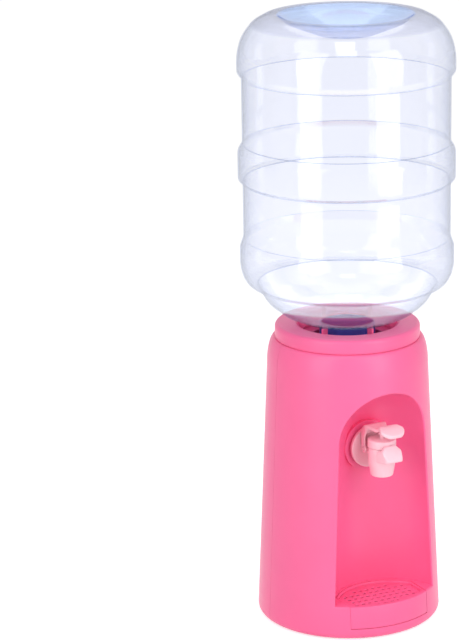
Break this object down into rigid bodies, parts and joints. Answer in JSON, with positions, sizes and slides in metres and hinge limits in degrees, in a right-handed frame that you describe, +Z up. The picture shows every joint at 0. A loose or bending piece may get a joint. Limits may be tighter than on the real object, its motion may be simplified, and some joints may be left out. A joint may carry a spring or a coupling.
{
  "type": "countertop water dispenser",
  "caption": "Round countertop water dispenser with a cup niche, a push-lever tap, a pull-out drip tray and an inverted clear bottle.",
  "frame": {"origin": "under the middle of the foot, on the surface it stands on", "axes": "+Z up, -Y is the front with the tap, +X is the viewer's right when facing the tap"},
  "size_m": [0.2124, 0.2124, 0.611],
  "materials": {
    "body_plastic": "satin moulded plastic",
    "tap_plastic": "satin moulded plastic",
    "inner_plastic": "plain moulded plastic",
    "bottle_plastic": "clear blown plastic",
    "cap_plastic": "moulded plastic",
    "seal_rubber": "soft rubber",
    "spring_steel": "bright steel"
  },
  "bodies": {
    "base": {"front_shell": "body_plastic", "rear_shell": "body_plastic", "top_cover": "body_plastic", "base_plate": "body_plastic", "foot_1": "seal_rubber", "foot_2": "seal_rubber", "foot_3": "seal_rubber", "foot_4": "seal_rubber", "base_screw_1": "spring_steel", "base_screw_2": "spring_steel", "base_screw_3": "spring_steel", "base_screw_4": "spring_steel", "reservoir": "inner_plastic", "bottle_seat": "inner_plastic", "seat_gasket": "seal_rubber", "feed_probe": "inner_plastic", "tap_body": "tap_plastic", "tap_bonnet": "tap_plastic", "stem_spring": "spring_steel", "stem_o_ring": "seal_rubber", "outer_washer": "seal_rubber", "inner_washer": "seal_rubber", "tap_nut": "inner_plastic"},
    "lever": {"tap_lever": "tap_plastic"},
    "stem": {"tap_stem": "tap_plastic", "valve_seal": "seal_rubber", "valve_disc": "inner_plastic"},
    "tray": {"drip_tray": "body_plastic"},
    "grille": {"drip_grille": "body_plastic"},
    "bottle": {"bottle": "bottle_plastic", "bottle_cap": "cap_plastic", "cap_liner": "inner_plastic"},
    "plug": {"valve_plug": "inner_plastic"}
  },
  "joints": [
    {"name": "lever_press", "type": "hinge", "parent": "base", "child": "lever", "pos_m": [0, -0.05, 0.187], "axis": [1, 0, 0], "range_deg": [0, 14], "stiffness_Nm_per_rad": 0.1, "springref_deg": -17.19},
    {"name": "stem_push", "type": "slide", "parent": "base", "child": "stem", "axis": [0, 0, -1], "range_m": [0, 0.0044], "deforming": ["stem_spring"]},
    {"name": "tray_slide", "type": "slide", "parent": "base", "child": "tray", "axis": [0, -1, 0], "range_m": [0, 0.07]},
    {"name": "grille_lift", "type": "slide", "parent": "tray", "child": "grille", "axis": [0, 0, 1], "range_m": [0, 0.03]},
    {"name": "bottle_lift", "type": "slide", "parent": "base", "child": "bottle", "axis": [0, 0, 1], "range_m": [0, 0.06]},
    {"name": "plug_lift", "type": "slide", "parent": "bottle", "child": "plug", "axis": [0, 0, 1], "range_m": [0, 0.003]}
  ],
  "couplings": [
    {"joint": "stem_push", "follows": "lever_press", "m_per_rad": 0.018}
  ]
}
